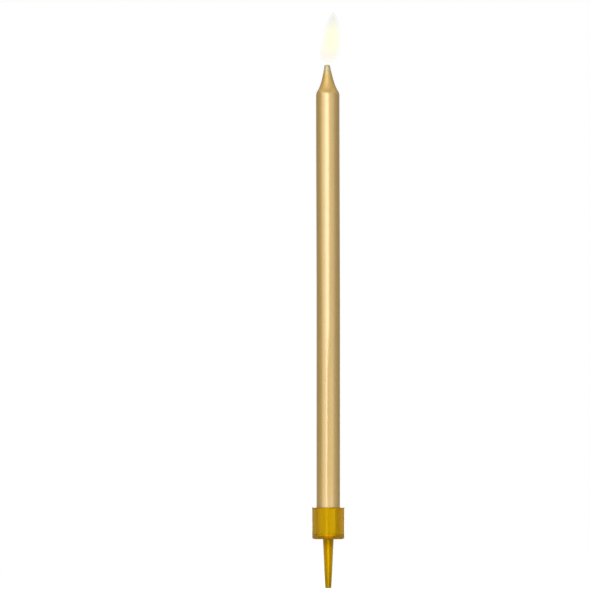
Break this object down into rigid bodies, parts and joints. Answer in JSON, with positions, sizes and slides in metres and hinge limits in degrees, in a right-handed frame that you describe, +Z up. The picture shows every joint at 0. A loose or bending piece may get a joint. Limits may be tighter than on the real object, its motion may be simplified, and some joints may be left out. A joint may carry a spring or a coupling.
{
  "type": "cake candle",
  "caption": "Slim gold-lacquered wax candle with cotton wick and flame, standing in a translucent plastic cup holder whose spike pushes into a cake.",
  "frame": {"origin": "on the candle's axis, at the flat underside of the holder's cup, where the spike starts and the top of the cake comes", "axes": "+Z up along the candle's axis, away from the cake; +X to the right in the picture, the way the flame drifts; the picture looks along +Y"},
  "size_m": [0.0088, 0.0088, 0.1558],
  "materials": {
    "holder_plastic": "gloss",
    "paraffin_wax": "satin",
    "gold_lacquer": "satin",
    "wick_cotton": "matte",
    "flame": "matte"
  },
  "bodies": {
    "holder": {"holder": "holder_plastic"},
    "candle": {"wax_rod": "paraffin_wax", "gold_lacquer": "gold_lacquer", "wick": "wick_cotton", "flame": "flame"}
  },
  "joints": [
    {"name": "candle_pull", "type": "slide", "parent": "holder", "child": "candle", "axis": [0, 0, 1], "range_m": [0, 0.015]}
  ]
}
